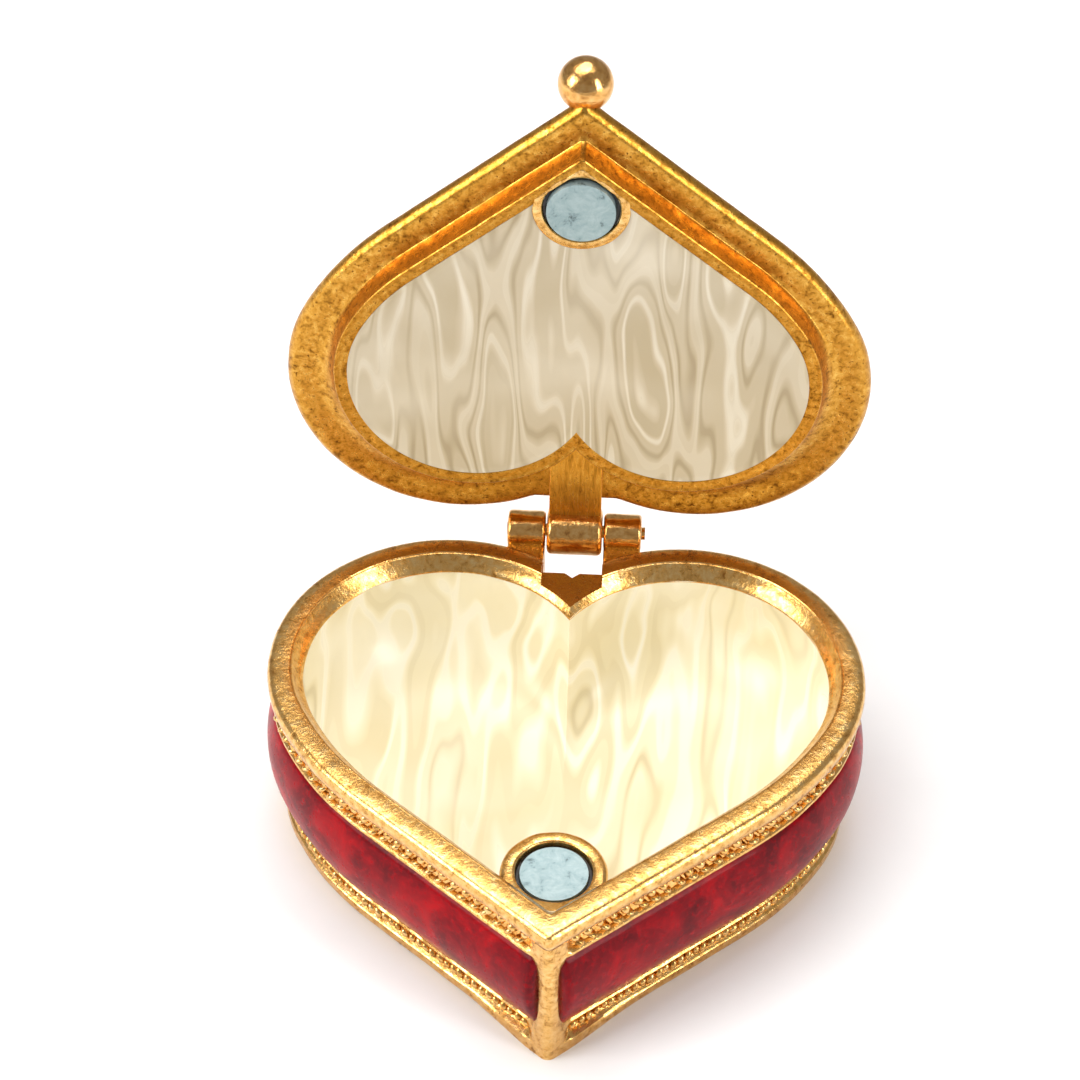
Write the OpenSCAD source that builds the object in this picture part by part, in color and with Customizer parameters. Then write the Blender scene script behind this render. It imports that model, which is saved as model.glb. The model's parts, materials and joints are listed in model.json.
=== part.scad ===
// Heart-shaped trinket box: a cast base and a hinged lid, both lined and enamelled,
// held shut by a pair of disc magnets. Millimetres, +Z up.
// Origin: centre of the underside. The tip of the heart points along -Y and the hinge is at +Y.
// The lid is drawn closed and then swung back to its open resting position.

/* [Heart outline] */
// Distance of each lobe's centre from the middle
lobe_x = 10.8; // [10.4:0.1:11.2]
// Distance of the lobes' centres behind the origin
lobe_y = 7.6; // [7.2:0.1:8]
// Radius of the lobes
lobe_r = 16; // [15.6:0.1:16.4]
// Radius of the shoulder between a lobe and a flank
shoulder_r = 31; // [29:0.5:33]

/* [Base] */
// Height of the base from its underside to the rim
base_h = 17.7; // [17:0.1:18.5]
// Thickness of the base's side wall
base_wall = 2.4; // [2.3:0.05:2.6]
// Thickness of the base's metal floor
base_floor = 2; // [1.5:0.1:2.4]
// Thickness of the lining at its thinnest
lining_t = 0.45; // [0.35:0.05:0.5]

/* [Lid] */
// How far the raised plug on the lid reaches into the base
plug_h = 2.5; // [2.3:0.1:2.7]
// Height of the lid's metal border above the rim
lid_border_h = 3.8; // [3.5:0.1:4.2]
// Height of the top of the enamel dome above the rim
lid_dome_h = 6.6; // [6:0.1:7.4]
// Angle of the resting lid from its closed position
open_angle = 91.2; // [90:0.1:95]
// Gap between the two rims when the lid is closed
rim_gap = 0.15; // [0.1:0.05:0.3]
// Radius of the ball at the lid's tip
ball_r = 2.42; // [2.2:0.02:2.5]

/* [Hinge] */
// Distance of the hinge axis behind the origin
hinge_y = 25.4; // [25.2:0.1:26]
// Radius of the middle knuckle, on the lid
knuckle_r = 2.3; // [2.1:0.05:2.4]
// Radius of the two outer knuckles, on the base
bracket_r = 1.8; // [1.7:0.05:2]
// Length of the middle knuckle
knuckle_l = 5.2; // [5:0.1:5.2]
// Length of each outer knuckle
bracket_l = 3.55; // [3.3:0.05:3.7]
// Radius of the hinge pin
pin_r = 0.6; // [0.5:0.05:0.7]
// Radial running clearance of the pin in the lid's knuckle
pin_play = 0.05; // [0.03:0.01:0.08]

/* [Magnets] */
// Radius of each disc magnet
magnet_r = 3; // [2.9:0.05:3.1]
// Thickness of each disc magnet
magnet_t = 2; // [1.5:0.1:2]
// Distance of the magnets in front of the origin
magnet_y = -14.1; // [-14.3:0.1:-13.9]
// Width of the ring of glue round each magnet
glue_w = 0.38; // [0.25:0.01:0.4]

/* [Hidden] */

$fa = 2;
$fs = 0.25;
far = 100;

// Half a heart is a lobe arc, a shoulder arc and a straight flank, each tangent to the next.
// Angles from +X at which they meet
shoulder_a = -28;
flank_a = -50.2;
heart = [lobe_x, lobe_y, lobe_r, shoulder_r];

// The raised plug on the lid has its own, slightly plainer heart
plug_heart = [lobe_x - 1.2, lobe_y - 2.2, lobe_r - 3.6, shoulder_r - 10.4];
plug_ledge = 1.15;

// Levels of the base, measured down from the rim
rim_out = 0.2;
bead_top = 2;
bead_bottom = 4;
enamel_top = 4.6;
enamel_bottom = 14.6;
foot_bead_bottom = 16.3;

bead_in = 0.45;
enamel_frame_in = 0.3;
foot_bead_in = 1;
foot_in = 0.6;
mouth_step = 0.45;

// The enamel cushion on the base's side is part of a circle
cushion_r = 10;
cushion_out = 0.75;
cushion_mid = 9;
enamel_depth = 1.2;
rib_half = 0.95;
rear_half = 6.9;
corner_r = 1.1;

// Magnet bosses
boss_r = 4.7;
boss_top = 2.8;
lid_boss_r = 4.3;
base_magnet_face = 3.15;
lid_magnet_out = 0.4;
glue_drop = 0.35;
well_r = magnet_r + glue_w;

// Linings
lining_top = 1.4;
bowl_floor = 4;
lid_lining_drop = 0.2;
lid_lining_top = 1.1 - plug_h;

// Hinge
hinge_z = base_h;
side_play = 0.15;
bracket_in = knuckle_l / 2 + side_play;
bracket_out = bracket_in + bracket_l;
leaf_half = 2.45;
leaf_under = 0.45;
leaf_over = 0.75;
leaf_front = 14.6;
notch_half = 2.85;
notch_depth = 0.8;
post_drop = 0.5;
post_bottom = 7;
cleft_flat = 20.45;
post_front = 18;
post_slope = 35;
pin_tail = 0.1;
pin_head = 0.35;

// Lid
lid_edge = 0.85;
lid_bead_bottom = 1.4;
lid_bead_top = 2.7;
lid_bead_in = 1.43;
lid_border_in = 2.03;
lid_enamel_in = 3.7;
lid_enamel_depth = 1.2;
lid_enamel_sunk = 0.3;
cleft_fill_half = 6;
cleft_fill_front = 15;
cleft_fill_back = 22;
cleft_fill_h = 1.1;
ball_y = -23.75;
ball_z = 2.55;
neck_r = 1.2;
neck_l = 5;
neck_drop = 0.45;

gold = "#d8a648";
polished_gold = "#e3b765";
red = "#8c0c1c";
pearl = "#efe6c8";
lid_pearl = "#cdc3a8";
nickel = "#b7c4c6";
black = "#1b1a18";

// --- Outline arithmetic -------------------------------------------------------------------

function lobe_c(h) = [h[0], h[1]];
function shoulder_c(h) = lobe_c(h) - (h[3] - h[2]) * [cos(shoulder_a), sin(shoulder_a)];
function on_arc(c, r, a) = c + r * [cos(a), sin(a)];
// Angle at which the lobe, set in by s, meets the middle plane
function cleft_a(h, s) = acos(-h[0] / (h[2] - s));
// Where the flank, set in by s, starts, how long it is and where it meets the middle plane
function flank_start(h, s) = on_arc(shoulder_c(h), h[3] - s, flank_a);
function flank_l(h, s) = -flank_start(h, s)[0] / sin(flank_a);
function tip_y(h, s) = flank_start(h, s)[1] - flank_l(h, s) * cos(flank_a);
function arc_points(c, r, from, to, n) = [for (i = [0 : n - 1]) on_arc(c, r, from + (to - from) * i / n)];
function half_points(h, s) = concat(
    arc_points(lobe_c(h), h[2] - s, cleft_a(h, s), shoulder_a, 24),
    arc_points(shoulder_c(h), h[3] - s, shoulder_a, flank_a, 5),
    [for (i = [0 : 4]) flank_start(h, s) * (1 - i / 5) + [0, tip_y(h, s)] * i / 5],
    [[0, tip_y(h, s)]]);
function heart_points(h, s) = let (p = half_points(h, s), n = len(p))
    concat(p, [for (i = [n - 2 : -1 : 1]) [-p[i][0], p[i][1]]]);

// --- Shared shapes ------------------------------------------------------------------------

// A pie slice with its point at c, between two angles
module wedge(c, from, to, reach) {
    polygon([c, on_arc(c, reach, from), on_arc(c, reach, (from + to) / 2), on_arc(c, reach, to)]);
}

// One lobe and the shoulder beside it
module lobe_and_shoulder(h, s, height) {
    translate(lobe_c(h)) cylinder(r = h[2] - s, h = height);
    intersection() {
        translate(shoulder_c(h)) cylinder(r = h[3] - s, h = height);
        linear_extrude(height) wedge(shoulder_c(h), flank_a - 1, shoulder_a, 2 * h[3]);
    }
}

// A heart-shaped slab, set in from h by s
module slab(h, s, bottom, top) {
    start = flank_start(h, s);
    height = top - bottom;
    translate([0, 0, bottom]) {
        lobe_and_shoulder(h, s, height);
        mirror([1, 0, 0]) lobe_and_shoulder(h, s, height);
        linear_extrude(height) polygon([[0, h[1]], start, [0, tip_y(h, s)], [-start[0], start[1]]]);
    }
}

// A stack of hearts joined into a smooth closed solid. Each row is [set-in, scale, height].
module heart_loft(h, rows) {
    mid = [0, 1];
    points = [for (row = rows, p = heart_points(h, row[0])) concat(mid + row[1] * (p - mid), [row[2]])];
    m = len(rows);
    n = len(points) / m;
    sides = [for (k = [0 : m - 2], i = [0 : n - 1], half = [0, 1]) let (j = (i + 1) % n)
        half == 0 ? [k * n + i, k * n + j, (k + 1) * n + j] : [k * n + i, (k + 1) * n + j, (k + 1) * n + i]];
    caps = [[for (i = [n - 1 : -1 : 0]) i], [for (i = [0 : n - 1]) (m - 1) * n + i]];
    polyhedron(points, concat(sides, caps));
}

module lid_pose() {
    translate([0, hinge_y, hinge_z]) rotate([-open_angle, 0, 0])
        translate([0, -hinge_y, -hinge_z]) children();
}

// Raises a lid shape, drawn from its own rim at z = 0, to its closed height
module on_rim() {
    translate([0, 0, base_h + rim_gap]) children();
}

module disc(r, y, bottom, top) {
    translate([0, y, bottom]) cylinder(r = r, h = top - bottom);
}

module across(r, from, to) {
    translate([from, hinge_y, hinge_z]) rotate([0, 90, 0]) cylinder(r = r, h = to - from);
}

// --- Base ---------------------------------------------------------------------------------

function from_rim(drop) = base_h - drop;

// A boss round the magnet, carried forward to the heart's tip
module boss(r, bottom, top) {
    disc(r, magnet_y, bottom, top);
    translate([-r, -far, bottom]) cube([2 * r, far + magnet_y, top - bottom]);
}

// The window that an enamel panel fills, with rounded corners, seen along Y
module window(from, y) {
    height = enamel_bottom - enamel_top;
    translate([from, y, from_rim(enamel_bottom)]) rotate([90, 0, 0]) translate([0, 0, -far])
        linear_extrude(far) union() {
            translate([corner_r, 0]) square([far, height]);
            translate([0, corner_r]) square([far, height - 2 * corner_r]);
            translate([corner_r, corner_r]) circle(corner_r);
            translate([corner_r, height - corner_r]) circle(corner_r);
        }
}

module windows() {
    window(rear_half, 0);
    translate([0, -far, 0]) window(rib_half, 0);
}

// The bulging side of an enamel panel follows a circle
function cushion(z) = cushion_r - cushion_out - sqrt(pow(cushion_r, 2) - pow(z - from_rim(cushion_mid), 2));
cushion_rows = [for (i = [0 : 10]) let (z = from_rim(enamel_bottom + (enamel_top - enamel_bottom) * i / 10))
    [cushion(z), 1, z]];

module enamel_panel() {
    intersection() {
        difference() {
            heart_loft(heart, cushion_rows);
            slab(heart, enamel_depth, 0, base_h);
        }
        windows();
    }
}

module base_body() {
    slab(heart, foot_in, 0, from_rim(foot_bead_bottom));
    slab(heart, foot_bead_in, 0, base_h);
    slab(heart, bead_in, from_rim(enamel_bottom), base_h);
    slab(heart, enamel_frame_in, from_rim(enamel_bottom), from_rim(bead_bottom));
    slab(heart, 0, from_rim(enamel_top), from_rim(bead_bottom));
    slab(heart, -rim_out, from_rim(bead_top), base_h);
}

module base_shell() {
    color(gold) difference() {
        union() {
            difference() {
                base_body();
                slab(heart, base_wall, base_floor, from_rim(lining_top));
                slab(heart, base_wall - mouth_step, from_rim(lining_top), base_h + 1);
            }
            intersection() {
                boss(boss_r, base_floor / 2, from_rim(boss_top));
                slab(heart, base_wall / 2, 0, base_h);
            }
        }
        // The enamel lies in a recess, behind a frame
        intersection() {
            difference() {
                translate([-far / 2, -far / 2, 0]) cube(far);
                slab(heart, enamel_depth, 0, base_h);
            }
            union() {
                windows();
                mirror([1, 0, 0]) windows();
            }
        }
        disc(well_r, magnet_y, from_rim(base_magnet_face + magnet_t), base_h);
        // Notch that the lid's hinge leaf drops into, and the flat behind it
        translate([-notch_half, leaf_front - 1, from_rim(notch_depth)]) cube([2 * notch_half, far, far]);
        translate([-bracket_in, cleft_flat, post_bottom]) cube([2 * bracket_in, far, far]);
        brackets_form();
    }
}

module base_enamel_left() {
    color(red) mirror([1, 0, 0]) enamel_panel();
}

module base_enamel_right() {
    color(red) enamel_panel();
}

// Rows of the bowl from its floor up: a superellipse that is steep at the wall
bowl_rim = from_rim(lining_top);
bowl_in = base_wall + lining_t;
bowl_rows = concat(
    [for (a = [84 : -7 : 0])
        [bowl_in, pow(cos(a), 0.62), bowl_rim - (bowl_rim - bowl_floor) * pow(sin(a), 0.7)]],
    [[bowl_in, 1, base_h + 1]]);

module base_lining() {
    color(pearl) difference() {
        slab(heart, base_wall, base_floor, bowl_rim);
        heart_loft(heart, bowl_rows);
        boss(boss_r, 0, base_h);
    }
}

module base_magnet() {
    color(nickel) disc(magnet_r, magnet_y, base_h - base_magnet_face - magnet_t, base_h - base_magnet_face);
}

module glue_ring(bottom, top) {
    difference() {
        disc(well_r, magnet_y, bottom, top);
        disc(magnet_r, magnet_y, bottom - 1, top + 1);
    }
}

module base_magnet_glue() {
    color(black) glue_ring(base_h - base_magnet_face - magnet_t, base_h - base_magnet_face - glue_drop);
}

// --- Hinge --------------------------------------------------------------------------------

module bracket_form() {
    across(bracket_r, bracket_in, bracket_out);
    translate([bracket_in, post_front, post_bottom])
        cube([bracket_l, hinge_y - post_front, from_rim(post_drop) - post_bottom]);
}

module brackets_form() {
    bracket_form();
    mirror([1, 0, 0]) bracket_form();
}

// The post reaches forward to the back of the base's wall and curls round the pin at its top
module bracket() {
    difference() {
        bracket_form();
        across(pin_r, 0, far);
        slab(heart, base_wall / 2, 0, far);
        // Slope under the post
        translate([0, hinge_y + bracket_r, post_bottom - 1]) rotate([-post_slope, 0, 0])
            translate([0, -far / 2, -far]) cube([far, far, far]);
    }
}

module hinge_bracket_right() {
    color(gold) bracket();
}

module hinge_bracket_left() {
    color(gold) mirror([1, 0, 0]) bracket();
}

module hinge_pin() {
    color(polished_gold) across(pin_r, -bracket_out - pin_tail, bracket_out + pin_head);
}

// --- Lid ----------------------------------------------------------------------------------

module lid_body() {
    slab(heart, -rim_out + lid_edge / 2, 0, lid_bead_bottom);
    slab(heart, lid_bead_in, 0, lid_bead_top);
    slab(heart, lid_border_in, 0, lid_border_h);
    slab(plug_heart, 0, -plug_h, 1);
    // Flat that fills the cleft where the hinge leaf is let in
    translate([-cleft_fill_half, cleft_fill_front, 0])
        cube([2 * cleft_fill_half, cleft_fill_back - cleft_fill_front, cleft_fill_h]);
}

module ball_form() {
    translate([0, ball_y, ball_z]) sphere(ball_r);
    translate([0, ball_y + neck_l, ball_z - neck_drop]) rotate([90, 0, 0]) cylinder(r = neck_r, h = neck_l);
}

module leaf_form() {
    translate([-leaf_half, leaf_front, -leaf_under])
        cube([2 * leaf_half, hinge_y - leaf_front, leaf_under + leaf_over]);
}

module lid_lining_form(bottom, top) {
    difference() {
        slab(plug_heart, plug_ledge, bottom, top);
        boss(lid_boss_r, bottom - 1, top + 1);
    }
}

module lid_shell() {
    color(gold) lid_pose() on_rim() difference() {
        lid_body();
        slab(heart, lid_enamel_in, dome_bed, far);
        lid_lining_form(-far, lid_lining_top);
        disc(well_r, magnet_y, -far, magnet_t - plug_h - lid_magnet_out);
        leaf_form();
        ball_form();
    }
}

// Rows of the enamel dome from its bed up
dome_bed = lid_border_h - lid_enamel_depth;
dome_edge = lid_border_h - lid_enamel_sunk;
dome_rows = concat(
    [[lid_enamel_in, 1, dome_bed], [lid_enamel_in, 1, dome_edge]],
    [for (a = [8 : 8 : 80])
        [lid_enamel_in, pow(cos(a), 0.8), dome_edge + (lid_dome_h - dome_edge) * pow(sin(a), 1.1)]],
    [[lid_enamel_in, 0.12, lid_dome_h]]);

module lid_enamel() {
    color(red) lid_pose() on_rim() heart_loft(heart, dome_rows);
}

module lid_lining() {
    color(lid_pearl) lid_pose() on_rim() lid_lining_form(lid_lining_drop - plug_h, lid_lining_top);
}

module lid_magnet() {
    color(nickel) lid_pose() on_rim()
        disc(magnet_r, magnet_y, -plug_h - lid_magnet_out, magnet_t - plug_h - lid_magnet_out);
}

module lid_magnet_glue() {
    color(black) lid_pose() on_rim()
        glue_ring(glue_drop - plug_h, magnet_t - plug_h - lid_magnet_out);
}

module lid_hinge_leaf() {
    color(polished_gold) lid_pose() difference() {
        union() {
            across(knuckle_r, -knuckle_l / 2, knuckle_l / 2);
            on_rim() leaf_form();
        }
        across(pin_r + pin_play, -far, far);
    }
}

module lid_ball() {
    color(polished_gold) lid_pose() on_rim() ball_form();
}

base_shell();
base_enamel_left();
base_enamel_right();
base_lining();
base_magnet();
base_magnet_glue();
hinge_bracket_left();
hinge_bracket_right();
hinge_pin();
lid_shell();
lid_enamel();
lid_lining();
lid_magnet();
lid_magnet_glue();
lid_hinge_leaf();
lid_ball();
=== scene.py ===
"""Looks of a heart-shaped trinket box that stands open: gilt castings, red enamel and pearl linings.

Shapes are worked out in millimetres in the part's own frame, and turned into metres as a mesh is made.
Lid shapes are drawn closed, from the lid's own rim at z = 0, and then swung back to the resting pose.
"""

import json
import math
import random

import bmesh
import bpy
from mathutils import Matrix, Vector, noise


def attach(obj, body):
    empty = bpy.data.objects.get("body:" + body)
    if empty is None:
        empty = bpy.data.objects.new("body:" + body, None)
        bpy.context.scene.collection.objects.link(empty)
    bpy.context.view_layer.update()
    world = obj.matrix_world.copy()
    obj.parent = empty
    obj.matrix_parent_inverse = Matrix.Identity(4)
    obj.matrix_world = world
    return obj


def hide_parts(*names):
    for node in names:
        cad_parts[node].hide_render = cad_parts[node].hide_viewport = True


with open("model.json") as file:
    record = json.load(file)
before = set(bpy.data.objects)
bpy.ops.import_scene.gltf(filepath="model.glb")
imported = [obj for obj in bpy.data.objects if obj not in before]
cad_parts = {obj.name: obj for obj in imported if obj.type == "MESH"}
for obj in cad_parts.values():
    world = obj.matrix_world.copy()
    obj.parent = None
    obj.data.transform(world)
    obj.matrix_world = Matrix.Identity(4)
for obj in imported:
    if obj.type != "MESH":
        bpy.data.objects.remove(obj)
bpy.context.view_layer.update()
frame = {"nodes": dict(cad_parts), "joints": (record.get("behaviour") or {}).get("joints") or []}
# noise_vector starts from random offsets unless it is seeded
noise.seed_set(7)

# --- Sizes, in millimetres ----------------------------------------------------------------------

MM = 0.001
joint = frame["joints"][0]
HINGE_Y = joint["pos_m"][1] / MM
BASE_H = joint["pos_m"][2] / MM
OPEN = math.radians(joint["range_deg"][1])
RIM_GAP = 0.15

# Half a heart is a lobe arc, a shoulder arc and a straight flank: lobe x, lobe y and the two radii
HEART = (10.8, 7.6, 16.0, 31.0)
PLUG = (9.6, 5.4, 12.4, 20.6)
SHOULDER_A = math.radians(-28)
FLANK_A = math.radians(-50.2)
MIDDLE_Y = 1.0

MAGNET_Y = -14.1
WELL_R = 3.38
BOSS_R = 4.7
LID_BOSS_R = 4.3
BOSS_TOP = 2.8

ENAMEL_TOP = 4.6
ENAMEL_BOTTOM = 14.6
RIB_HALF = 0.95
REAR_HALF = 6.9
CORNER_R = 1.1
CUSHION_R = 10.0
CUSHION_OUT = 0.73
CUSHION_MID = 9.0

LINING_TOP = 1.4
LINING_IN = 2.85
BOWL_FLOOR = 4.0
PLUG_H = 2.5

NOTCH_HALF = 2.85
NOTCH_DEPTH = 0.8
CLEFT_FLAT_Y = 20.45
CLEFT_FILL_HALF = 6
CLEFT_FILL_Y = 22

KNUCKLE_R = 2.3
KNUCKLE_HALF = 2.6
BRACKET_R = 1.8
BRACKET_IN = 2.75
BRACKET_OUT = 6.3

# Points round each part of half an outline
LOBE_N = 84
SHOULDER_N = 18
FLANK_N = 54
TIP_N = 9


# --- Outline ------------------------------------------------------------------------------------

def polar(centre, radius, angle):
    return centre[0] + radius * math.cos(angle), centre[1] + radius * math.sin(angle)


def shoulder_centre(heart):
    return polar(heart[:2], heart[2] - heart[3], SHOULDER_A)


def tip_y(heart, inset):
    x, y = polar(shoulder_centre(heart), heart[3] - inset, FLANK_A)
    return y + x / math.tan(FLANK_A)


def half_outline(heart, inset, tip_r):
    """Right half, from the cleft round the lobe to the tip, which is rounded off by tip_r."""
    lobe_r = heart[2] - inset
    cleft = math.acos(-heart[0] / lobe_r)
    points = [polar(heart[:2], lobe_r, cleft + (SHOULDER_A - cleft) * i / LOBE_N) for i in range(LOBE_N)]
    middle = shoulder_centre(heart)
    points += [polar(middle, heart[3] - inset, SHOULDER_A + (FLANK_A - SHOULDER_A) * i / SHOULDER_N)
               for i in range(SHOULDER_N)]
    nose = (0.0, tip_y(heart, inset + tip_r))
    start = polar(middle, heart[3] - inset, FLANK_A)
    end = polar(nose, tip_r, FLANK_A)
    for i in range(FLANK_N):
        t = 1 - (1 - i / FLANK_N) ** 1.7
        points.append((start[0] + (end[0] - start[0]) * t, start[1] + (end[1] - start[1]) * t))
    points += [polar(nose, tip_r, FLANK_A + (-math.pi / 2 - FLANK_A) * i / TIP_N) for i in range(TIP_N + 1)]
    return points


def ring(heart, inset, z, tip_r=0.5, scale=1.0, flat_y=None):
    """A closed heart at height z. flat_y fills the cleft up to that line."""
    right = half_outline(heart, inset, tip_r)
    points = right + [(-x, y) for x, y in right[-2:0:-1]]
    if flat_y is not None:
        points = [(x, max(y, flat_y) if abs(x) < CLEFT_FILL_HALF and y > MIDDLE_Y else y) for x, y in points]
    return [Vector((x * scale, MIDDLE_Y + (y - MIDDLE_Y) * scale, z)) for x, y in points]


FLANK_L = polar(shoulder_centre(HEART), HEART[3], FLANK_A)[0] / -math.sin(FLANK_A)
SHOULDER_L = HEART[3] * (SHOULDER_A - FLANK_A)


def beside(distance, inset, z):
    """A point on the right side, measured along the outline from the tip, and its outward normal."""
    if distance < FLANK_L:
        angle = FLANK_A
        x = -distance * math.sin(FLANK_A)
        y = tip_y(HEART, 0) + distance * math.cos(FLANK_A)
    elif distance < FLANK_L + SHOULDER_L:
        angle = FLANK_A + (distance - FLANK_L) / HEART[3]
        x, y = polar(shoulder_centre(HEART), HEART[3], angle)
    else:
        angle = SHOULDER_A + (distance - FLANK_L - SHOULDER_L) / HEART[2]
        x, y = polar(HEART[:2], HEART[2], angle)
    out = Vector((math.cos(angle), math.sin(angle), 0))
    return Vector((x, y, z)) - out * inset, out


REAR_A = math.acos((REAR_HALF - HEART[0]) / HEART[2])
REAR_L = FLANK_L + SHOULDER_L + HEART[2] * (REAR_A - SHOULDER_A)


def mix(a, b, t):
    return a + (b - a) * t


def smooth(low, high, value):
    t = min(max((value - low) / (high - low), 0.0), 1.0)
    return t * t * (3 - 2 * t)


# --- Meshes -------------------------------------------------------------------------------------

def on_lid(point):
    """From the closed lid's own height to the resting pose."""
    y = point.y - HINGE_Y
    z = point.z + RIM_GAP
    return Vector((point.x, HINGE_Y + y * math.cos(OPEN) + z * math.sin(OPEN),
                   BASE_H - y * math.sin(OPEN) + z * math.cos(OPEN)))


def as_drawn(point):
    return point


def piece(name, points, faces, body, slot, material, replaces=(), sharp=32):
    """A mesh piece that rides on a body. A lid shape is swung open here."""
    place = on_lid if body == "lid" else as_drawn
    mesh = bpy.data.meshes.new(name)
    mesh.from_pydata([place(Vector(p)) * MM for p in points], [], faces)
    bm = bmesh.new()
    bm.from_mesh(mesh)
    bmesh.ops.remove_doubles(bm, verts=bm.verts, dist=1e-7)
    bmesh.ops.recalc_face_normals(bm, faces=bm.faces)
    bm.to_mesh(mesh)
    bm.free()
    shade(mesh, sharp)
    thing = bpy.data.objects.new(name, mesh)
    bpy.context.scene.collection.objects.link(thing)
    mesh.materials.append(material)
    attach(thing, body)
    if replaces:
        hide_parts(*replaces)
    return thing


def shade(mesh, sharp):
    mesh.shade_smooth()
    mesh.set_sharp_from_angle(angle=math.radians(sharp))


def skin(rings, closed=False):
    """Quads between rings, with flat caps on the first and the last unless the rings close up."""
    n = len(rings[0])
    points = [p for r in rings for p in r]
    faces = []
    for k in range(len(rings) if closed else len(rings) - 1):
        low = k * n
        high = (k + 1) % len(rings) * n
        faces += [(low + i, low + (i + 1) % n, high + (i + 1) % n, high + i) for i in range(n)]
    if not closed:
        faces.append(tuple(range(n - 1, -1, -1)))
        faces.append(tuple(range((len(rings) - 1) * n, len(rings) * n)))
    return points, faces


def wavy(points, size, wavelength, seed=0.0):
    """The slight unevenness of a casting."""
    offset = Vector((seed, seed * 0.7, -seed))
    return [p + size * noise.noise_vector(p / wavelength + offset) for p in points]


def cut(thing, cutters, sharp=32):
    """Takes each cutter, a list of points and faces, out of a closed mesh."""
    for points, faces in cutters:
        mesh = bpy.data.meshes.new("cutter")
        mesh.from_pydata([Vector(p) * MM for p in points], [], faces)
        tool = bpy.data.objects.new("cutter", mesh)
        bpy.context.scene.collection.objects.link(tool)
        modifier = thing.modifiers.new("cut", "BOOLEAN")
        modifier.operation = "DIFFERENCE"
        modifier.solver = "EXACT"
        modifier.object = tool
        bpy.context.view_layer.update()
        view = thing.evaluated_get(bpy.context.evaluated_depsgraph_get())
        result = bpy.data.meshes.new_from_object(view)
        thing.modifiers.clear()
        thing.data = result
        bpy.data.objects.remove(tool)
    shade(thing.data, sharp)


def box_shape(low, high):
    points = [(x, y, z) for x in (low[0], high[0]) for y in (low[1], high[1]) for z in (low[2], high[2])]
    faces = [(0, 1, 3, 2), (4, 6, 7, 5), (0, 4, 5, 1), (2, 3, 7, 6), (0, 2, 6, 4), (1, 5, 7, 3)]
    return points, faces


def tube_shape(radius, y, bottom, top, n=96):
    rings = [[Vector((radius * math.cos(2 * math.pi * i / n), y + radius * math.sin(2 * math.pi * i / n), z))
              for i in range(n)] for z in (bottom, top)]
    return skin(rings)


def turned(profile, place, n=72):
    """Turns (radius, height) pairs round an axis. place(a, b, height) says where a point goes."""
    rings = [[place(r * math.cos(2 * math.pi * i / n), r * math.sin(2 * math.pi * i / n), h)
              for i in range(n)] for r, h in profile]
    return skin(rings)


def corner(centre, radius, start, end, n=5):
    """Points of a quarter round in a profile."""
    return [polar(centre, radius, math.radians(start + (end - start) * i / n)) for i in range(n + 1)]


# --- Materials ----------------------------------------------------------------------------------

def rgb(red, green, blue):
    """A display colour from 0 to 255 as the linear values that shaders use."""
    def linear(c):
        c /= 255
        return c / 12.92 if c <= 0.04045 else ((c + 0.055) / 1.055) ** 2.4
    return (linear(red), linear(green), linear(blue), 1.0)


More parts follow.
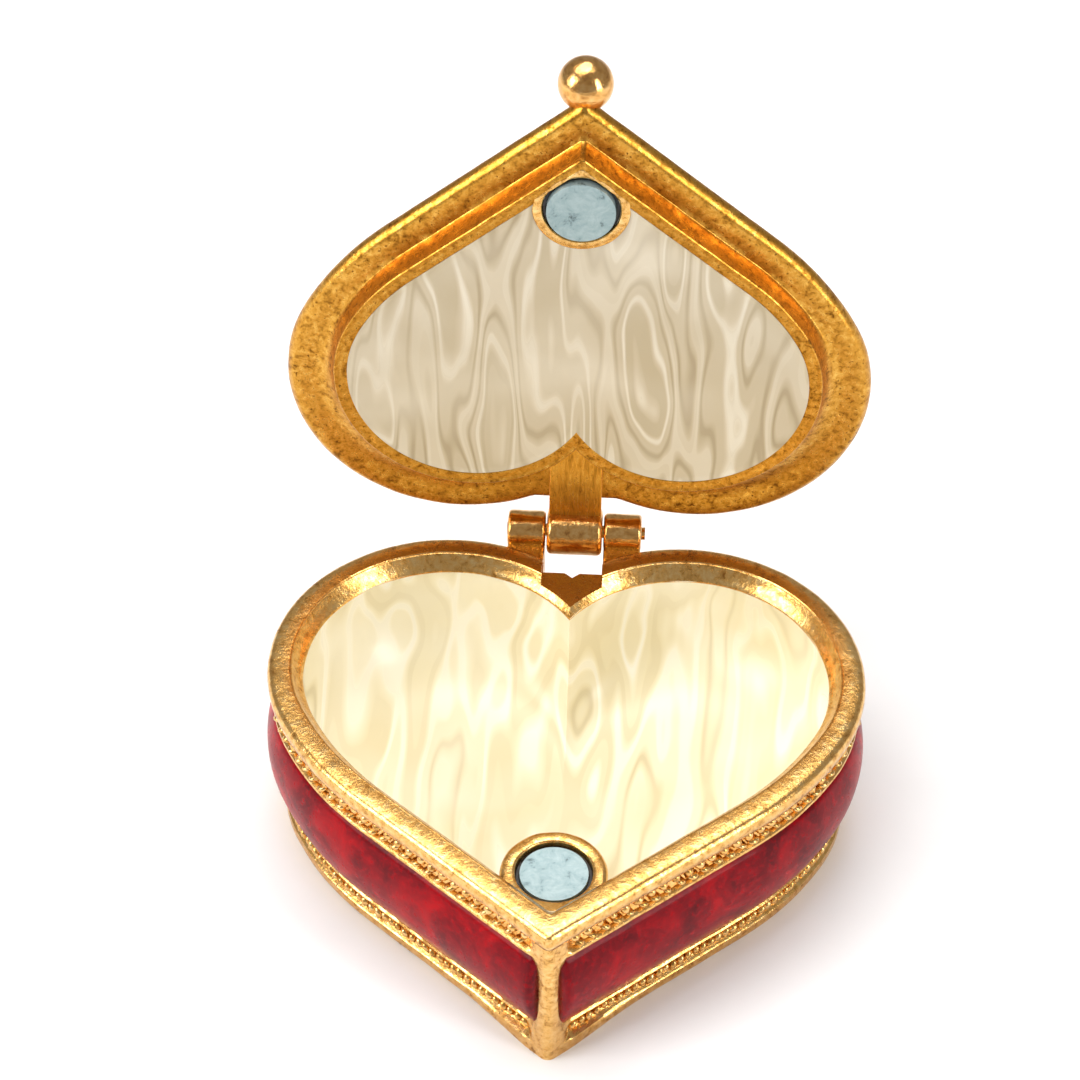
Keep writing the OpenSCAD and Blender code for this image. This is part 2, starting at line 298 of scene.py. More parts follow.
class Shader:
    """A material's nodes, made in the order in which they are used."""

    def __init__(self, name):
        self.material = bpy.data.materials.new(name)
        self.material.use_nodes = True
        self.tree = self.material.node_tree
        self.main = self.tree.nodes["Principled BSDF"]
        self.coords = self.tree.nodes.new("ShaderNodeTexCoord").outputs["Object"]

    def link(self, source, target):
        self.tree.links.new(source, target)

    def stretched(self, scale):
        node = self.tree.nodes.new("ShaderNodeMapping")
        node.inputs["Scale"].default_value = scale
        self.link(self.coords, node.inputs["Vector"])
        return node.outputs["Vector"]

    def noise(self, scale, detail=3.0, roughness=0.5, distortion=0.0, vector=None, colour=False):
        node = self.tree.nodes.new("ShaderNodeTexNoise")
        node.inputs["Scale"].default_value = scale
        node.inputs["Detail"].default_value = detail
        node.inputs["Roughness"].default_value = roughness
        node.inputs["Distortion"].default_value = distortion
        self.link(vector or self.coords, node.inputs["Vector"])
        return node.outputs["Color" if colour else "Fac"]

    def ramp(self, fac, stops):
        """stops are (position, colour) pairs."""
        node = self.tree.nodes.new("ShaderNodeValToRGB")
        elements = node.color_ramp.elements
        while len(elements) < len(stops):
            elements.new(0.5)
        for element, (position, colour) in zip(elements, stops):
            element.position = position
            element.color = colour
        self.link(fac, node.inputs["Fac"])
        return node.outputs["Color"]

    def grey(self, fac, low, high, start=0.3, end=0.7):
        node = self.tree.nodes.new("ShaderNodeMapRange")
        for name, value in (("From Min", start), ("From Max", end), ("To Min", low), ("To Max", high)):
            node.inputs[name].default_value = value
        self.link(fac, node.inputs["Value"])
        return node.outputs["Result"]

    def maths(self, operation, a, b):
        node = self.tree.nodes.new("ShaderNodeMath")
        node.operation = operation
        for socket, value in zip(node.inputs, (a, b)):
            if isinstance(value, float):
                socket.default_value = value
            else:
                self.link(value, socket)
        return node.outputs["Value"]

    def blend(self, fac, a, b, mode="MIX"):
        node = self.tree.nodes.new("ShaderNodeMix")
        node.data_type = "RGBA"
        node.blend_type = mode
        for name, value in (("Factor_Float", fac), ("A_Color", a), ("B_Color", b)):
            socket = next(s for s in node.inputs if s.identifier == name)
            if isinstance(value, (float, tuple)):
                socket.default_value = value
            else:
                self.link(value, socket)
        return next(s for s in node.outputs if s.identifier == "Result_Color")

    def warped(self, vector, scale, amount):
        """Pushes a vector about with coloured noise, for flowing shapes."""
        push = self.noise(scale, 2.0, 0.5, 0.0, vector, colour=True)
        centre = self.tree.nodes.new("ShaderNodeVectorMath")
        centre.operation = "SUBTRACT"
        centre.inputs[1].default_value = (0.5, 0.5, 0.5)
        self.link(push, centre.inputs[0])
        far = self.tree.nodes.new("ShaderNodeVectorMath")
        far.operation = "SCALE"
        far.inputs["Scale"].default_value = amount
        self.link(centre.outputs["Vector"], far.inputs[0])
        add = self.tree.nodes.new("ShaderNodeVectorMath")
        add.operation = "ADD"
        self.link(vector, add.inputs[0])
        self.link(far.outputs["Vector"], add.inputs[1])
        return add.outputs["Vector"]

    def bump(self, layers):
        """layers are (height, depth in metres) pairs, coarse ones first."""
        normal = None
        for height, depth in layers:
            node = self.tree.nodes.new("ShaderNodeBump")
            node.inputs["Distance"].default_value = depth
            self.link(height, node.inputs["Height"])
            if normal:
                self.link(normal, node.inputs["Normal"])
            normal = node.outputs["Normal"]
        self.link(normal, self.main.inputs["Normal"])

    def use(self, **sockets):
        """Sets or links the shader's own sockets, with _ for a space in a name."""
        for name, value in sockets.items():
            socket = self.main.inputs[name.replace("_", " ")]
            if hasattr(value, "node"):
                self.link(value, socket)
            else:
                socket.default_value = value


def gilt(name, dark, plain, bright, rough, pits, streak=(1, 1, 1)):
    """Gilded casting metal: uneven colour, fine brushing and small pits."""
    s = Shader(name)
    broad = s.noise(170, 3.0, 0.55)
    grain = s.noise(1500, 5.0, 0.65, 0.3, s.stretched(streak))
    pitting = s.noise(3300, 3.0, 0.6)
    tone = s.ramp(grain, [(0.30, dark), (0.47, plain), (0.70, bright)])
    tone = s.blend(s.grey(broad, 0.0, 0.55), tone, plain)
    pit = s.grey(pitting, 1.0, 0.0, 0.27, 0.40)
    colour = s.blend(s.maths("MULTIPLY", pit, float(pits)), tone, dark)
    s.use(Base_Color=colour, Metallic=1.0, Roughness=s.grey(grain, rough + 0.10, rough - 0.07))
    s.bump([(broad, 0.00010), (grain, 0.000035), (pitting, 0.00002)])
    return s.material


def red_enamel():
    """Deep translucent glaze: dark crimson with brighter clouds under a clear coat."""
    s = Shader("red_enamel")
    clouds = s.noise(230, 4.0, 0.6, 0.8)
    specks = s.noise(1900, 3.0, 0.6)
    deep = s.ramp(clouds, [(0.34, rgb(92, 0, 10)), (0.52, rgb(128, 0, 14)), (0.70, rgb(172, 2, 14))])
    colour = s.blend(s.grey(specks, 0.0, 0.5, 0.50, 0.75), deep, rgb(190, 4, 18))
    s.use(Base_Color=colour, Roughness=s.grey(specks, 0.34, 0.26), Coat_Weight=0.04, Coat_Roughness=0.1)
    s.use(IOR=1.35, Specular_IOR_Level=0.16)
    s.bump([(s.noise(120, 2.0), 0.00014), (specks, 0.00001)])
    return s.material


def pearl(name, tones, stretch, scale, lines, coat):
    """Poured pearl enamel, marbled by folds that run along the surface. tones go dark to bright."""
    s = Shader(name)
    flow = s.warped(s.stretched(stretch), scale * 0.7, 0.0062)
    sheet = s.noise(scale, 1.0, 0.35, 0.0, flow)
    folds = s.maths("PINGPONG", s.maths("MULTIPLY", sheet, float(lines)), 1.0)
    fine = s.maths("PINGPONG", s.maths("MULTIPLY", sheet, float(lines) * 2.3), 1.0)
    veins = s.maths("ADD", s.maths("MULTIPLY", folds, 0.7), s.maths("MULTIPLY", fine, 0.3))
    marbled = s.ramp(veins, [(0.08, tones[0]), (0.30, tones[1]), (0.62, tones[2]), (0.92, tones[3])])
    cloud = s.ramp(s.noise(75, 2.0, 0.5, 0.4), [(0.35, tones[1]), (0.65, tones[3])])
    strength = s.grey(s.noise(90, 1.0), 0.45, 0.95, 0.35, 0.60)
    s.use(Base_Color=s.blend(strength, cloud, marbled), Roughness=s.grey(veins, 0.34, 0.26, 0.0, 1.0))
    s.use(Coat_Weight=coat, Coat_Roughness=0.25, IOR=1.4)
    s.bump([(s.noise(110, 2.0), 0.00010), (veins, 0.000012)])
    return s.material


def nickel():
    """Plated magnet: pale and slightly blue, smudged and finely scratched."""
    s = Shader("nickel")
    smudge = s.noise(700, 4.0, 0.7, 0.5)
    scratch = s.noise(2600, 3.0, 0.6, 0.0, s.stretched((0.25, 1.6, 1.6)))
    tones = [(0.28, rgb(84, 100, 104)), (0.42, rgb(150, 172, 176)), (0.75, rgb(180, 198, 200))]
    colour = s.ramp(smudge, tones)
    s.use(Base_Color=colour, Metallic=0.6, Roughness=s.grey(scratch, 0.56, 0.42))
    s.bump([(scratch, 0.000012), (smudge, 0.00001)])
    return s.material


def glue():
    s = Shader("glue")
    lumps = s.noise(900, 3.0, 0.6)
    s.use(Base_Color=s.ramp(lumps, [(0.3, rgb(10, 10, 11)), (0.7, rgb(32, 31, 30))]))
    s.use(Roughness=s.grey(lumps, 0.5, 0.2))
    s.bump([(lumps, 0.0001)])
    return s.material


def floor_paper():
    s = Shader("floor_paper")
    s.use(Base_Color=s.ramp(s.noise(60, 4.0), [(0.3, rgb(240, 240, 240)), (0.7, rgb(246, 246, 246))]))
    s.use(Roughness=0.9)
    return s.material


GOLD = gilt("cast_gilt", rgb(126, 76, 22), rgb(226, 174, 98), rgb(248, 214, 152), 0.22, 0.45)
# The lid's gilt is a darker copy of the cast gilt. Its deep brown tones are painted shade and painted dark
# reflections for the lid's cove and rim, laid over brushing and pits that are real.
LID_GOLD_PAINTED_SHADE = gilt("lid_cast_gilt_painted_shade", rgb(84, 44, 6), rgb(198, 140, 52), rgb(234, 184, 92), 0.30, 1.0)
SMOOTH_GOLD = gilt("polished_gilt", rgb(150, 92, 40), rgb(224, 168, 96), rgb(246, 204, 140), 0.13, 0.1)
BRUSHED = gilt("brushed_gilt", rgb(112, 68, 16), rgb(212, 154, 62), rgb(238, 190, 100), 0.28, 0.5,
               (2.2, 2.2, 0.3))
RED = red_enamel()
BOWL_PEARL = pearl("bowl_pearl",
                   [rgb(214, 200, 160), rgb(230, 218, 180), rgb(240, 231, 200), rgb(249, 245, 228)],
                   (1.9, 0.34, 0.7), 125, 9.0, 0.15)
LID_PEARL = pearl("lid_pearl",
                  [rgb(168, 150, 120), rgb(184, 168, 138), rgb(200, 185, 158), rgb(224, 214, 194)],
                  (1.9, 1.0, 0.36), 135, 15.0, 0.3)
NICKEL = nickel()
GLUE = glue()


# --- Base ---------------------------------------------------------------------------------------

def base_profile():
    """(inset, drop from the rim, tip radius) from the foot up over the rim and down inside."""
    rows = [(1.8, BASE_H, 0.9)]
    rows += [(x, y, 0.6) for x, y in corner((1.15, BASE_H - 0.55), 0.55, 90, 180, 5)]
    rows += [(0.6, 16.7, 0.6), (0.64, 16.45, 0.6), (0.78, 16.32, 0.7), (1.0, 16.25, 0.8)]
    rows += [(1.16, 16.1, 1.0), (1.22, 15.6, 1.0), (1.16, 15.15, 1.0)]
    rows += [(1.0, 15.02, 1.0), (0.82, 14.92, 1.0), (0.78, 14.75, 1.0), (0.88, 14.6, 1.0), (1.1, 14.5, 1.0)]
    rows += [(1.14, 14.2, 1.0), (1.0, 12.0, 1.0), (0.75, 9.0, 1.0), (0.62, 6.6, 1.0), (0.55, 5.0, 1.0)]
    rows += [(0.42, 4.72, 1.0), (0.18, 4.6, 1.0), (0.06, 4.42, 1.0), (0.1, 4.2, 1.0), (0.3, 4.06, 1.0)]
    rows += [(0.6, 3.96, 0.9), (0.72, 3.5, 0.9), (0.72, 2.7, 0.9), (0.62, 2.2, 0.9), (0.34, 2.06, 0.8)]
    rows += [(-0.02, 1.96, 0.7), (-0.22, 1.7, 0.7), (-0.33, 1.3, 0.75), (-0.35, 0.9, 0.75), (-0.3, 0.54, 0.7)]
    rows += [(-0.17, 0.25, 0.5), (0.05, 0.07, 0.45), (0.32, 0.0, 0.4), (0.9, 0.0, 0.4), (1.55, 0.0, 0.4)]
    rows += [(1.68, 0.02, 0.4), (1.74, 0.09, 0.4), (1.81, 0.05, 0.4), (1.9, 0.08, 0.4), (1.99, 0.22, 0.4)]
    rows += [(2.14, 0.5, 0.5), (2.36, 0.85, 0.5), (2.62, 1.15, 0.5), (2.84, 1.36, 0.5), (2.9, 1.55, 0.5)]
    rows += [(2.5, 1.75, 0.5), (2.4, BASE_H - 2.2, 0.5)]
    return rows


def base_rings():
    rings = []
    for inset, drop, tip_r in base_profile():
        z = BASE_H - drop
        row = ring(HEART, inset, z, tip_r)
        if drop > 2.0 and inset < 1.7:
            # A rib runs down the front edge and flares into the rim and the foot
            flare = 0.5 * (smooth(6.4, 4.2, drop) + smooth(13.0, 15.2, drop))
            fade = 0.6 + 7.0 * smooth(16.2, 16.6, drop)
            rib = ring(HEART, 0.2, z, 0.9)
            row = [mix(p, q, 1 - smooth(0.85 + flare, 0.85 + flare + fade, abs(q.x)) if q.y < 0 else 0)
                   for p, q in zip(row, rib)]
        rings.append(row)
    return rings


def flat_edge(points, low, size, wavelength):
    """Unevenness that leaves the flat underside alone."""
    moved = wavy(points, size, wavelength)
    return [p if p.z <= low else q for p, q in zip(points, moved)]


def base_casting():
    points, faces = skin(base_rings())
    thing = piece("base_casting", flat_edge(points, 0.01, 0.035, 2.6), faces, "base", "cast_gilt", GOLD,
                  ["base_shell"])
    notch = box_shape((-NOTCH_HALF, 13.6, BASE_H - NOTCH_DEPTH), (NOTCH_HALF, 40, BASE_H + 5))
    back = box_shape((-BRACKET_IN, CLEFT_FLAT_Y, 5), (BRACKET_IN, 40, BASE_H + 5))
    cut(thing, [notch, back])
    return thing


def boss_reach(angle, radius, nose):
    """How far a boss goes from the magnet's centre: round behind, carried to the heart's tip in front."""
    x, y = math.cos(angle), math.sin(angle)
    if y >= 0:
        return radius
    side = radius / max(abs(x), 1e-6)
    flank = nose / (abs(x) * math.cos(FLANK_A) - y * math.sin(-FLANK_A))
    return min(side, flank)


def boss_shape(radius, nose, top, bottom, edge, up=1.0):
    """A ring round the magnet's well, with rounded edges. up is -1 where it hangs from the lid."""
    profile = [(1.0, 0.0, bottom), (1.0, 0.0, top - up * edge)]
    profile += [(1.0, -edge * (1 - math.cos(a)), top - up * edge * (1 - math.sin(a)))
                for a in (0.5, 1.0, math.pi / 2)]
    profile += [(0.0, edge * 0.5 * (1 - math.cos(a)), top - up * edge * 0.5 * (1 - math.sin(a)))
                for a in (math.pi / 2, 1.0, 0.5, 0.0)]
    profile += [(0.0, 0.0, bottom)]
    n = 120
    rings = []
    for outer, shift, z in profile:
        row = []
        for i in range(n):
            a = 2 * math.pi * (i + 0.5) / n
            reach = boss_reach(a, radius, nose) if outer else WELL_R
            row.append(Vector(((reach + shift) * math.cos(a), MAGNET_Y + (reach + shift) * math.sin(a), z)))
        rings.append(row)
    return skin(rings, closed=True)


def base_boss():
    points, faces = boss_shape(BOSS_R, 6.2, BASE_H - BOSS_TOP, 3.0, 0.5)
    piece("base_magnet_boss", wavy(points, 0.06, 1.7), faces, "base", "cast_gilt", GOLD)


def bead_row(name, body, slot, material, spots, subdivisions=2):
    """Cast beads, each a lump of its own. spots are (centre, outward normal, width, height, lean)."""
    bm = bmesh.new()
    for index, (centre, out, width, height, lean) in enumerate(spots):
        along = Vector((0, 0, 1)).cross(out)
        turn = Matrix((along, out, Vector((0, 0, 1)))).transposed().to_4x4()
        size = Matrix.Diagonal((width / 2, width * 0.5, height / 2, 1))
        place = Matrix.Translation(centre) @ turn @ Matrix.Rotation(lean, 4, "Y") @ size
        made = bmesh.ops.create_icosphere(bm, subdivisions=subdivisions, radius=1, matrix=Matrix.Identity(4))
        for v in made["verts"]:
            v.co *= 1 + 0.16 * noise.noise(v.co * 1.3 + Vector((index * 3.1, 0, 0)))
            v.co = place @ v.co
    points = [v.co.copy() for v in bm.verts]
    bm.verts.index_update()
    faces = [tuple(v.index for v in f.verts) for f in bm.faces]
    bm.free()
    return piece(name, points, faces, body, slot, material, sharp=80)


def bead_spots(rng, pitch, first, last, inset, z, width, height, lean, jitter):
    """Places of beads along both sides, evenly spaced but for the jitter."""
    count = round((last - first) / pitch)
    spots = []
    for side in (1, -1):
        for i in range(count + 1):
            distance = first + (last - first) * i / count + rng.uniform(-jitter, jitter)
            centre, out = beside(distance, inset + rng.uniform(-0.06, 0.06), z + rng.uniform(-0.07, 0.07))
            size = rng.uniform(0.84, 1.12)
            tilt = lean * side + rng.uniform(-0.25, 0.25)
            if side < 0:
                centre.x, out.x = -centre.x, -out.x
            spots.append((centre, out, width * size, height * size * rng.uniform(0.9, 1.1), tilt))
    return spots


def base_beads():
    rng = random.Random(11)
    spots = bead_spots(rng, 1.36, 3.1, REAR_L + 1.0, 0.5, BASE_H - 2.66, 1.02, 1.04, 0.0, 0.08)
    spots += bead_spots(rng, 1.36, 3.6, REAR_L + 1.5, 0.48, BASE_H - 3.48, 1.24, 0.62, 0.35, 0.1)
    bead_row("rim_beads", "base", "cast_gilt", GOLD, spots)
    spots = bead_spots(rng, 0.86, 2.7, REAR_L + 1.0, 1.02, BASE_H - 15.62, 0.74, 1.12, 0.55, 0.1)
    bead_row("foot_beads", "base", "cast_gilt", GOLD, spots)


def cushion(z):
    """Inset of the enamel's bulging side at a height, which follows a circle."""
    return CUSHION_R - CUSHION_OUT - math.sqrt(CUSHION_R ** 2 - (z - (BASE_H - CUSHION_MID)) ** 2)


def round_corner(gap):
    """How far a panel's end draws in at this distance from its top or bottom edge."""
    if gap >= CORNER_R:
        return 0.0
    return CORNER_R - math.sqrt(max(CORNER_R ** 2 - (CORNER_R - gap) ** 2, 0.0))


def enamel_panel(name, node, side):
    """A panel with soft edges that sink behind the gold frame."""
    rows, columns = 34, 190
    first, last = RIB_HALF / math.sin(-FLANK_A) + 0.25, REAR_L
    front, back = [], []
    for j in range(rows + 1):
        v = 0.5 - 0.5 * math.cos(math.pi * j / rows)
        drop = ENAMEL_BOTTOM + (ENAMEL_TOP - ENAMEL_BOTTOM) * v
        gap = min(drop - ENAMEL_TOP, ENAMEL_BOTTOM - drop)
        low, high = first + round_corner(gap), last - round_corner(gap)
        for i in range(columns + 1):
            u = i / columns
            u = u - 0.08 * math.sin(2 * math.pi * u)
            distance = low + (high - low) * u
            edge = min(gap, distance - first, last - distance)
            sink = 0.62 * (1 - math.sqrt(1 - (1 - min(edge / 0.75, 1.0)) ** 2))
            ripple = 0.05 * noise.noise(Vector((distance * 0.28, drop * 0.22, side * 7.0)))
            inset = cushion(BASE_H - drop) + sink + ripple * smooth(0, 1.5, edge)
            p = beside(distance, inset, BASE_H - drop)[0]
            q = beside(distance, 1.6, BASE_H - drop)[0]
            front.append(Vector((side * p.x, p.y, p.z)))
            back.append(Vector((side * q.x, q.y, q.z)))
    wide = columns + 1
    total = wide * (rows + 1)
    faces = []
    for j in range(rows):
        for i in range(columns):
            a = j * wide + i
            faces.append((a, a + 1, a + wide + 1, a + wide))
            faces.append((total + a, total + a + wide, total + a + wide + 1, total + a + 1))
    border = [i for i in range(wide)] + [j * wide + columns for j in range(1, rows + 1)]
    border += [rows * wide + i for i in range(columns - 1, -1, -1)]
    border += [j * wide for j in range(rows - 1, 0, -1)]
    for a, b in zip(border, border[1:] + border[:1]):
        faces.append((a, total + a, total + b, b))
    piece(name, front + back, faces, "base", "red_enamel", RED, [node], sharp=60)


def bowl_lining():
    """The poured bowl: steep at the wall and nearly flat in the middle."""
    top = BASE_H - LINING_TOP
    rings = [ring(HEART, 2.4, 2.0, 0.6), ring(HEART, 2.4, top - 0.1, 0.6), ring(HEART, 2.6, top, 0.6)]
    rings += [ring(HEART, LINING_IN, top - 0.03, 0.7)]
    for i in range(1, 46):
        a = math.radians(89 * i / 45)
        depth = (top - BOWL_FLOOR) * math.sin(a) ** 0.7
        rings.append(ring(HEART, LINING_IN, top - depth, 0.7 + 2 * math.sin(a), math.cos(a) ** 0.62))
    points, faces = skin(rings)
    piece("bowl_lining", wavy(points, 0.10, 6.0), faces, "base", "pearl_enamel", BOWL_PEARL, ["base_lining"],
          sharp=50)


# --- Hinge --------------------------------------------------------------------------------------

def on_axis(a, b, h):
    return Vector((h, HINGE_Y + a, BASE_H + b))


def barrel_profile(radius, start, end, edge):
    """A barrel with rounded ends, very slightly uneven along its length."""
    turns = (0, 0.4, 0.8, 1.2, 1.57)
    left = [(radius - edge + edge * math.sin(a), start + edge * (1 - math.cos(a))) for a in turns]
    right = [(radius - edge + edge * math.sin(a), end - edge * (1 - math.cos(a))) for a in turns[::-1]]
    middle = [(radius * (1 + 0.006 * math.sin(7 * t)), start + edge + (end - start - 2 * edge) * t)
              for t in (0.2, 0.4, 0.6, 0.8)]
    return left + middle + right


def prism(outline, start, end):
    """An outline in Y and Z, carried along X."""
    rings = [[Vector((x, y, z)) for y, z in outline] for x in (start, end)]
    return skin(rings)


def rounded(thing, width, segments=3, weld=False):
    if weld:
        thing.modifiers.new("weld", "WELD").merge_threshold = 1e-6
    bevel = thing.modifiers.new("round", "BEVEL")
    bevel.width = width * MM
    bevel.segments = segments
    bevel.limit_method = "ANGLE"
    bevel.angle_limit = math.radians(35)
    bevel.harden_normals = False
    thing.modifiers.new("normals", "WEIGHTED_NORMAL").keep_sharp = True


def bracket(name, node, side):
    start, end = sorted((side * BRACKET_IN, side * BRACKET_OUT))
    points, faces = turned(barrel_profile(BRACKET_R, start, end, 0.35), on_axis)
    piece(name, wavy(points, 0.03, 1.2), faces, "base", "polished_gilt", SMOOTH_GOLD, [node])
    post = [(21.4, 8.5), (23.4, 8.5), (26.4, 13.5), (27.0, 16.3)]
    post += [(26.6, 17.4), (24.1, 17.6), (22.9, 17.25), (21.4, 17.2)]
    points, faces = prism(post, start + 0.04, end - 0.04)
    thing = piece(name + "_post", points, faces, "base", "polished_gilt", BRUSHED)
    rounded(thing, 0.3)


def lid_hinge():
    # The knuckle is drawn round the hinge axis, so it isn't swung open as the other lid pieces are
    profile = barrel_profile(KNUCKLE_R, -KNUCKLE_HALF, KNUCKLE_HALF, 0.5)
    hinge = piece("lid_knuckle", *turned(profile, on_axis), "base", "polished_gilt", SMOOTH_GOLD)
    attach(hinge, "lid")
    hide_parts("lid_hinge_leaf")
    plate = box_shape((-2.45, 14.6, -0.45), (2.45, 24.0, 0.75))
    leaf = piece("lid_leaf", *plate, "lid", "polished_gilt", BRUSHED)
    rounded(leaf, 0.12)


# --- Lid ----------------------------------------------------------------------------------------

def lid_rings():
    """From the bed of the lining out over the rim's flat face and up to the bed of the dome."""
    rings = [ring(PLUG, 1.3, 1.0 - PLUG_H, 0.5), ring(PLUG, 1.28, 0.2 - PLUG_H, 0.5)]
    ledge = ((1.18, 0.12), (1.08, 0.08), (0.6, 0.08), (0.3, 0.07),
             (0.2, 0.01), (0.1, 0.0), (0.02, 0.07), (0.0, 0.22))
    rings += [ring(PLUG, s, z - PLUG_H, 0.5) for s, z in ledge]
    inner = ring(PLUG, 0.0, 0, 0.5)
    outer = ring(HEART, 2.9, 0, 0.5)
    for i in range(1, 11):
        t = math.pi / 2 * i / 10
        lift = -(PLUG_H - 0.25) * (1 - math.sin(t))
        rings.append([mix(p, q, 1 - math.cos(t)) + Vector((0, 0, lift)) for p, q in zip(inner, outer)])
    rings += [ring(HEART, s, 0.0, 0.5, flat_y=CLEFT_FILL_Y - s) for s in (2.4, 1.7)]
    edge = ((1.05, 0.0), (0.85, 0.04), (0.68, 0.16), (0.42, 0.42), (0.28, 0.75), (0.25, 1.1), (0.36, 1.4))
    for s, z in edge:
        rings.append(ring(HEART, s, z, 0.5, flat_y=CLEFT_FILL_Y - s))
    for s, z in ((0.8, 1.44), (1.7, 1.5), (2.05, 1.6), (2.1, 2.1), (2.1, 2.9), (2.12, 3.3), (2.25, 3.6)):
        rings.append(ring(HEART, s, z, 0.7))
    for s, z in ((2.5, 3.76), (2.8, 3.8), (3.3, 3.8), (3.6, 3.74), (3.7, 3.5), (3.74, 2.7)):
        rings.append(ring(HEART, s, z, 0.8))
    return rings


def lid_casting():
    points, faces = skin(lid_rings())
    points = wavy(points, 0.03, 2.4, 5.0)
    # The casting takes the darker lid gilt, whose brown tones are painted shade and dark reflection
    thing = piece("lid_casting", points, faces, "lid", "cast_gilt", LID_GOLD_PAINTED_SHADE, ["lid_shell"])
    well, well_faces = tube_shape(WELL_R, MAGNET_Y, -5.0, -0.9)
    cut(thing, [([on_lid(p) for p in well], well_faces)])


def lid_boss():
    points, faces = boss_shape(LID_BOSS_R, 3.5, 0.04 - PLUG_H, -0.95, 0.3, -1.0)
    piece("lid_magnet_boss", wavy(points, 0.03, 1.7), faces, "lid", "cast_gilt", GOLD)


def lid_beads():
    rng = random.Random(23)
    spots = bead_spots(rng, 1.32, 2.6, REAR_L + 1.0, 1.72, 1.95, 0.95, 0.95, 0.0, 0.1)
    # The lid beads take the darker lid gilt too, with its painted shade
    bead_row("lid_beads", "lid", "cast_gilt", LID_GOLD_PAINTED_SHADE, spots)


def lid_pearl():
    """Flat poured panel with a meniscus along its edge."""
    rings = [ring(PLUG, 1.22, -1.5, 0.5), ring(PLUG, 1.22, 0.1 - PLUG_H, 0.5)]
    rings += [ring(PLUG, 1.22 + s, z - PLUG_H, 0.5) for s, z in ((0.12, 0.12), (0.3, 0.18), (0.55, 0.21))]
    rings += [ring(PLUG, 1.77, 0.22 - PLUG_H, 0.5 + i * 0.3, 1 - i / 20) for i in range(1, 20)]
    points, faces = skin(rings)
    thing = piece("lid_pearl_panel", points, faces, "lid", "pearl_enamel", LID_PEARL, ["lid_lining"],
                  sharp=50)
    well, well_faces = tube_shape(WELL_R, MAGNET_Y, -5.0, 0.5)
    cut(thing, [([on_lid(p) for p in well], well_faces)], 50)


def lid_dome():
    edge, top = 3.5, 6.6
    rings = [ring(HEART, 3.7, 2.62, 0.8), ring(HEART, 3.7, edge, 0.8)]
    for i in range(1, 40):
        a = math.radians(88 * i / 39)
        height = edge + (top - edge) * math.sin(a) ** 1.1
        rings.append(ring(HEART, 3.7, height, 0.8 + 2 * math.sin(a), math.cos(a) ** 0.8))
    piece("lid_enamel_dome", *skin(rings), "lid", "red_enamel", RED, ["lid_enamel"], sharp=50)


def lid_lift():
    """Ball on a short neck that flares into the tip of the lid."""
    radius, ball_y, ball_z = 2.41, -23.75, 2.55
    profile = [(radius * math.sin(math.radians(a)), -radius * math.cos(math.radians(a)))
               for a in range(3, 148, 6)]
    profile += [(1.3, 2.15), (1.26, 2.6), (1.3, 3.1), (1.36, 3.8)]
    shape = turned(profile, lambda a, b, h: Vector((a, ball_y + h, ball_z + b)))
    piece("lid_ball_lift", *shape, "lid", "polished_gilt", SMOOTH_GOLD, ["lid_ball"], sharp=70)


# --- CAD pieces that show as they are -----------------------------------------------------------

def dress(node, material, edge):
    """Rounds a CAD piece's edges and gives it a better material."""
    thing = frame["nodes"][node]
    thing.data.materials.clear()
    thing.data.materials.append(material)
    rounded(thing, edge, weld=True)


# --- Studio -------------------------------------------------------------------------------------

def area(name, place, target, size, power, colour=(1, 1, 1)):
    data = bpy.data.lights.new(name, "AREA")
    data.shape = "RECTANGLE"
    data.size, data.size_y = size
    data.energy = power
    data.color = colour
    lamp = bpy.data.objects.new(name, data)
    lamp.location = place
    lamp.rotation_euler = (Vector(target) - Vector(place)).to_track_quat("-Z", "Y").to_euler()
    bpy.context.scene.collection.objects.link(lamp)


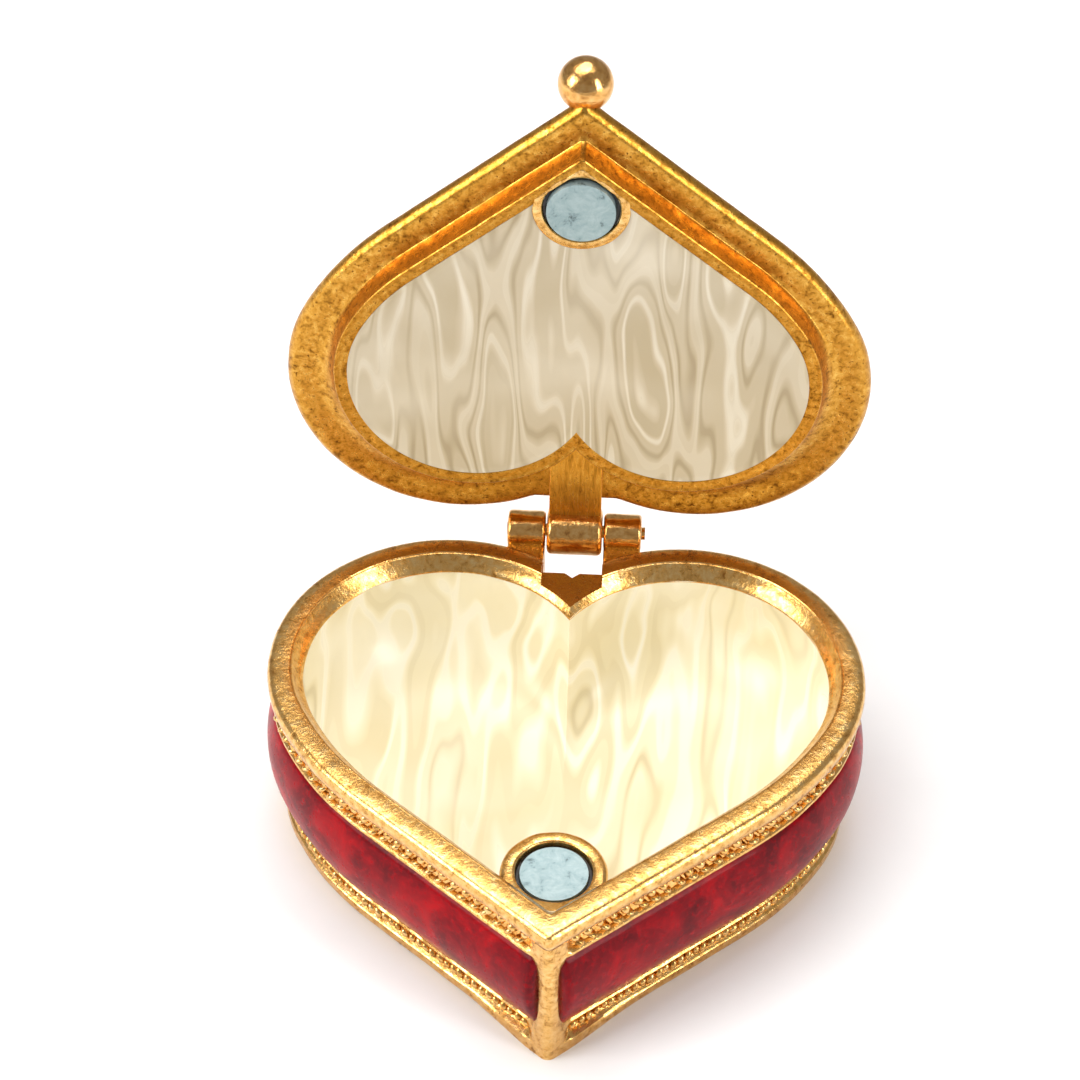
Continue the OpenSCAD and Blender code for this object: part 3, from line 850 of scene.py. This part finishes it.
def studio():
    mesh = bpy.data.meshes.new("floor")
    mesh.from_pydata([(-3, -3, 0), (3, -3, 0), (3, 3, 0), (-3, 3, 0)], [], [(0, 1, 2, 3)])
    mesh.materials.append(floor_paper())
    floor = bpy.data.objects.new("floor", mesh)
    bpy.context.scene.collection.objects.link(floor)
    world = bpy.data.worlds.new("studio")
    world.use_nodes = True
    world.node_tree.nodes["Background"].inputs["Color"].default_value = (1.0, 0.985, 0.96, 1)
    world.node_tree.nodes["Background"].inputs["Strength"].default_value = 0.36
    bpy.context.scene.world = world
    bpy.context.scene.view_settings.view_transform = "Standard"
    middle = (0, 0, 0.02)
    area("top_softbox", (-0.05, 0.10, 0.50), middle, (0.45, 0.35), 2.4)
    area("left_softbox", (-0.42, -0.16, 0.26), middle, (0.25, 0.30), 1.7)
    area("right_strip", (0.40, -0.22, 0.20), middle, (0.10, 0.35), 1.1)


def camera():
    """Stands in front, a little to the right, and looks down at 44 degrees."""
    data = bpy.data.cameras.new("camera")
    data.sensor_width = 36
    data.lens = 106.667
    data.clip_start = 0.01
    view = bpy.data.objects.new("camera", data)
    right = Vector((0.99862, 0.05186, 0.00819))
    up = Vector((-0.04199, 0.69511, 0.71767))
    back = right.cross(up)
    place = Vector((6.298, -192.484, BASE_H + 210.178)) * MM
    view.matrix_world = Matrix.Translation(place) @ Matrix((right, up, back)).transposed().to_4x4()
    bpy.context.scene.collection.objects.link(view)
    bpy.context.scene.camera = view


camera()
studio()
base_casting()
base_boss()
base_beads()
enamel_panel("enamel_panel_right", "base_enamel_right", 1)
enamel_panel("enamel_panel_left", "base_enamel_left", -1)
bowl_lining()
bracket("bracket_right", "hinge_bracket_right", 1)
bracket("bracket_left", "hinge_bracket_left", -1)
lid_hinge()
lid_casting()
lid_boss()
lid_beads()
lid_pearl()
lid_dome()
lid_lift()
dress("base_magnet", NICKEL, 0.18)
dress("lid_magnet", NICKEL, 0.18)
dress("base_magnet_glue", GLUE, 0.08)
dress("lid_magnet_glue", GLUE, 0.08)
dress("hinge_pin", SMOOTH_GOLD, 0.15)
